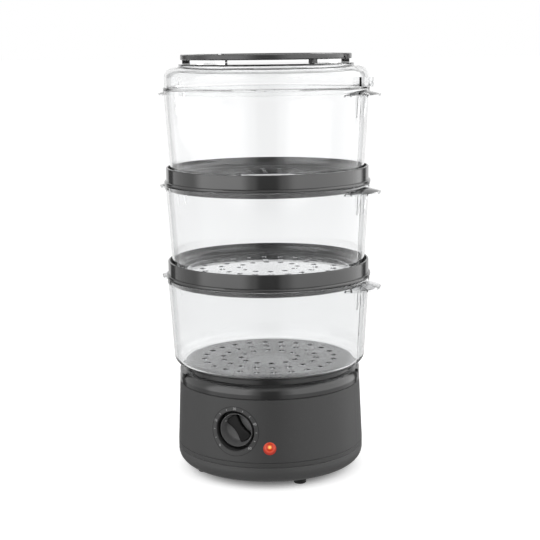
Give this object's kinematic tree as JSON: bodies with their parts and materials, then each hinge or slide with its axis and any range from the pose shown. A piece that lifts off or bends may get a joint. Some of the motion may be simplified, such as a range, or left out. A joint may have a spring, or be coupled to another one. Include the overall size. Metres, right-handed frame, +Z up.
{
  "type": "electric food steamer",
  "caption": "Electric food steamer: drum base with tank, ring heater and knob timer, drip tray, stacked clear bowls with spacer rings, clear lid with folding hoop handles.",
  "frame": {"origin": "on the floor under the middle of the drum", "axes": "+Z up, the timer knob faces -Y, +X to the right as seen from the front"},
  "size_m": [0.2304, 0.1996, 0.4052],
  "materials": {
    "charcoal_plastic": "moulded charcoal plastic, satin",
    "black_grip": "near-black plastic, satin",
    "dark_handle": "dark grey plastic, satin",
    "clear_plastic": "clear moulded plastic, gloss",
    "black_rubber": "matt",
    "steel": "plain steel",
    "brass": "plain brass",
    "tank_plastic": "heat resistant plastic, fine grain",
    "timer_case": "zinc plated sheet",
    "black_nylon": "nylon",
    "white_ceramic": "ceramic and moulded resin",
    "red_lens": "clear red plastic",
    "lamp_glass": "neon lamp glass"
  },
  "bodies": {
    "base": {"base_housing": "charcoal_plastic", "base_pan": "charcoal_plastic", "feet": "black_rubber", "base_screws": "steel", "water_tank": "tank_plastic", "heating_element": "steel", "element_seals": "black_rubber", "element_nuts": "brass", "thermostat": "steel", "thermal_fuse": "white_ceramic", "fuse_clip": "steel", "timer_body": "timer_case", "timer_bell": "steel", "timer_screws": "steel", "indicator_lens": "red_lens", "lamp_holder": "black_nylon", "neon_lamp": "lamp_glass", "cord_gland": "black_nylon", "gland_nut": "black_nylon", "terminal_block": "white_ceramic"},
    "knob": {"timer_knob": "charcoal_plastic", "knob_grip": "black_grip", "timer_shaft": "steel"},
    "steam_sleeve": {"steam_sleeve": "tank_plastic"},
    "drip_tray": {"drip_tray": "charcoal_plastic"},
    "bowl_1": {"bowl_1": "clear_plastic"},
    "ring_2": {"ring_2": "charcoal_plastic"},
    "bowl_2": {"bowl_2": "clear_plastic"},
    "ring_3": {"ring_3": "charcoal_plastic"},
    "bowl_3": {"bowl_3": "clear_plastic"},
    "lid": {"lid": "clear_plastic"},
    "front_bail": {"front_bail": "dark_handle"},
    "rear_bail": {"rear_bail": "dark_handle"}
  },
  "joints": [
    {"name": "knob_turn", "type": "hinge", "parent": "base", "child": "knob", "pos_m": [0, -0.08, 0.057], "axis": [0, 1, 0], "range_deg": [-72, 198]},
    {"name": "sleeve_lift", "type": "slide", "parent": "base", "child": "steam_sleeve", "axis": [0, 0, 1], "range_m": [0, 0.06]},
    {"name": "tray_lift", "type": "slide", "parent": "steam_sleeve", "child": "drip_tray", "axis": [0, 0, 1], "range_m": [0, 0.05]},
    {"name": "bowl_1_lift", "type": "slide", "parent": "drip_tray", "child": "bowl_1", "axis": [0, 0, 1], "range_m": [0, 0.06]},
    {"name": "ring_2_lift", "type": "slide", "parent": "bowl_1", "child": "ring_2", "axis": [0, 0, 1], "range_m": [0, 0.05]},
    {"name": "bowl_2_lift", "type": "slide", "parent": "ring_2", "child": "bowl_2", "axis": [0, 0, 1], "range_m": [0, 0.06]},
    {"name": "ring_3_lift", "type": "slide", "parent": "bowl_2", "child": "ring_3", "axis": [0, 0, 1], "range_m": [0, 0.05]},
    {"name": "bowl_3_lift", "type": "slide", "parent": "ring_3", "child": "bowl_3", "axis": [0, 0, 1], "range_m": [0, 0.06]},
    {"name": "lid_lift", "type": "slide", "parent": "bowl_3", "child": "lid", "axis": [0, 0, 1], "range_m": [0, 0.1]},
    {"name": "front_bail_fold", "type": "hinge", "parent": "lid", "child": "front_bail", "pos_m": [-0.00035, -0.00499, 0.4025], "axis": [-0.9976, 0.0698, 0], "range_deg": [0, 90]},
    {"name": "rear_bail_fold", "type": "hinge", "parent": "lid", "child": "rear_bail", "pos_m": [0.00035, 0.00499, 0.4025], "axis": [0.9976, -0.0698, 0], "range_deg": [0, 90]}
  ]
}
